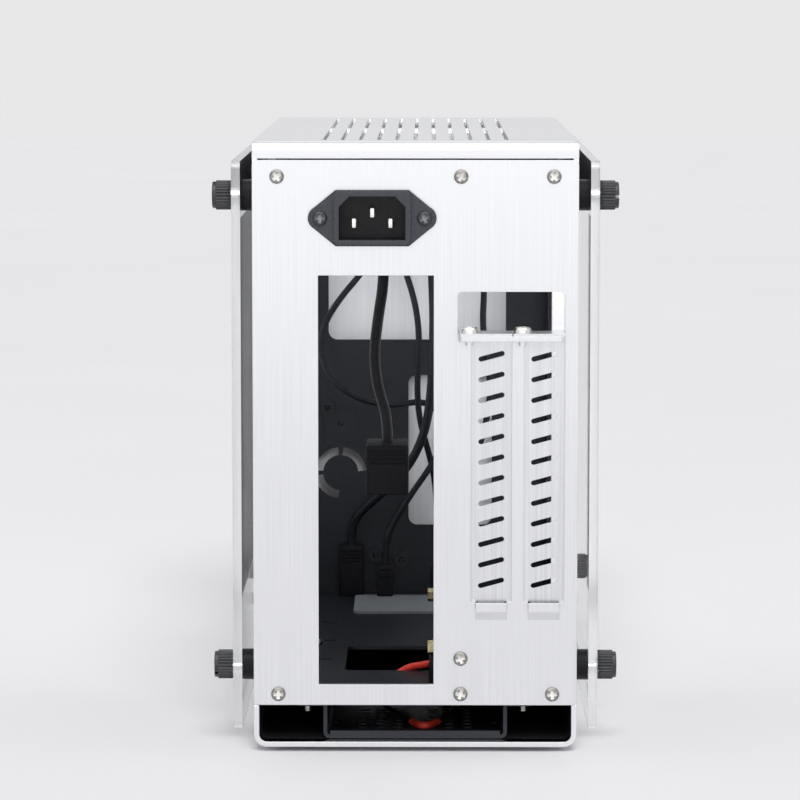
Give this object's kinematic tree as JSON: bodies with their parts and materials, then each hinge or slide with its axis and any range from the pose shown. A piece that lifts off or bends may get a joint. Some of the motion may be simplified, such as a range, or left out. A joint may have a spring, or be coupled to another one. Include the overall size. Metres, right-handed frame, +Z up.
{
  "type": "mini-tower computer case",
  "caption": "Small upright computer case of folded silver sheet with clear side panels on standoffs, a mains inlet, a board connector opening and a louvred card bay.",
  "frame": {"origin": "under the middle of the case's box, at the height of the bottom of its feet", "axes": "-Y out of the back (the side with the mains inlet), +X to the right when facing the back, +Z up"},
  "size_m": [0.1566, 0.294, 0.2366],
  "materials": {
    "aluminium_sheet": "satin, bead blasted",
    "cover_steel": "satin",
    "screw_steel": "bright",
    "clear_acrylic": "polished",
    "black_anodised": "satin",
    "black_sheet": "matt",
    "black_plastic": "fine grain",
    "contact_metal": "nickel",
    "standoff_brass": "bright",
    "circuit_board": "solder resist",
    "black_lead": "matt",
    "red_lead": "matt",
    "foot_rubber": "matt"
  },
  "bodies": {
    "case": {"base_shell": "aluminium_sheet", "top_cover": "aluminium_sheet", "rear_panel": "aluminium_sheet", "front_panel": "aluminium_sheet", "motherboard_tray": "aluminium_sheet", "slot_cover_1": "cover_steel", "slot_cover_2": "cover_steel", "rear_panel_screws": "screw_steel", "front_panel_screws": "screw_steel", "lid_screws": "screw_steel", "floor_screws": "screw_steel", "frame_screws": "screw_steel", "slot_cover_screws": "screw_steel", "drive_tray_screws": "screw_steel", "side_panel_left": "clear_acrylic", "side_panel_right": "clear_acrylic", "standoffs_left": "black_anodised", "standoffs_right": "black_anodised", "inlet_screws": "black_anodised", "floor_plate": "black_sheet", "drive_tray": "black_sheet", "front_frame": "black_sheet", "usb_bracket": "black_sheet", "power_inlet": "black_plastic", "inlet_boot": "black_plastic", "inlet_plug": "black_plastic", "usb_plug": "black_plastic", "switch_plug": "black_plastic", "audio_plug": "black_plastic", "light_plug": "black_plastic", "data_plugs": "black_plastic", "inlet_blades": "contact_metal", "usb_sockets": "contact_metal", "switch_body": "contact_metal", "switch_nut": "contact_metal", "board_standoffs": "standoff_brass", "usb_board": "circuit_board", "inlet_lead": "black_lead", "usb_lead": "black_lead", "audio_lead": "black_lead", "switch_lead": "black_lead", "light_lead": "black_lead", "data_lead": "red_lead", "feet": "foot_rubber"},
    "power_button": {"power_button": "contact_metal"},
    "thumbscrew_left_rear_low": {"thumbscrew_left_rear_low": "black_anodised"},
    "thumbscrew_left_rear_high": {"thumbscrew_left_rear_high": "black_anodised"},
    "thumbscrew_left_front_low": {"thumbscrew_left_front_low": "black_anodised"},
    "thumbscrew_left_front_high": {"thumbscrew_left_front_high": "black_anodised"},
    "thumbscrew_right_rear_low": {"thumbscrew_right_rear_low": "black_anodised"},
    "thumbscrew_right_rear_high": {"thumbscrew_right_rear_high": "black_anodised"},
    "thumbscrew_right_front_low": {"thumbscrew_right_front_low": "black_anodised"},
    "thumbscrew_right_front_high": {"thumbscrew_right_front_high": "black_anodised"}
  },
  "joints": [
    {"name": "power_button_press", "type": "slide", "parent": "case", "child": "power_button", "axis": [0, -1, 0], "range_m": [0, 0.0012], "stiffness_N_per_m": 2000},
    {"name": "thumbscrew_left_rear_low_turn", "type": "hinge", "parent": "case", "child": "thumbscrew_left_rear_low", "pos_m": [-0.0783, -0.122, 0.0323], "axis": [-1, 0, 0], "continuous": true},
    {"name": "thumbscrew_left_rear_high_turn", "type": "hinge", "parent": "case", "child": "thumbscrew_left_rear_high", "pos_m": [-0.0783, -0.122, 0.2155], "axis": [-1, 0, 0], "continuous": true},
    {"name": "thumbscrew_left_front_low_turn", "type": "hinge", "parent": "case", "child": "thumbscrew_left_front_low", "pos_m": [-0.0783, 0.132, 0.0323], "axis": [-1, 0, 0], "continuous": true},
    {"name": "thumbscrew_left_front_high_turn", "type": "hinge", "parent": "case", "child": "thumbscrew_left_front_high", "pos_m": [-0.0783, 0.132, 0.2155], "axis": [-1, 0, 0], "continuous": true},
    {"name": "thumbscrew_right_rear_low_turn", "type": "hinge", "parent": "case", "child": "thumbscrew_right_rear_low", "pos_m": [0.0783, -0.122, 0.0323], "axis": [1, 0, 0], "continuous": true},
    {"name": "thumbscrew_right_rear_high_turn", "type": "hinge", "parent": "case", "child": "thumbscrew_right_rear_high", "pos_m": [0.0783, -0.122, 0.2155], "axis": [1, 0, 0], "continuous": true},
    {"name": "thumbscrew_right_front_low_turn", "type": "hinge", "parent": "case", "child": "thumbscrew_right_front_low", "pos_m": [0.0783, 0.132, 0.0323], "axis": [1, 0, 0], "continuous": true},
    {"name": "thumbscrew_right_front_high_turn", "type": "hinge", "parent": "case", "child": "thumbscrew_right_front_high", "pos_m": [0.0783, 0.132, 0.2155], "axis": [1, 0, 0], "continuous": true}
  ]
}
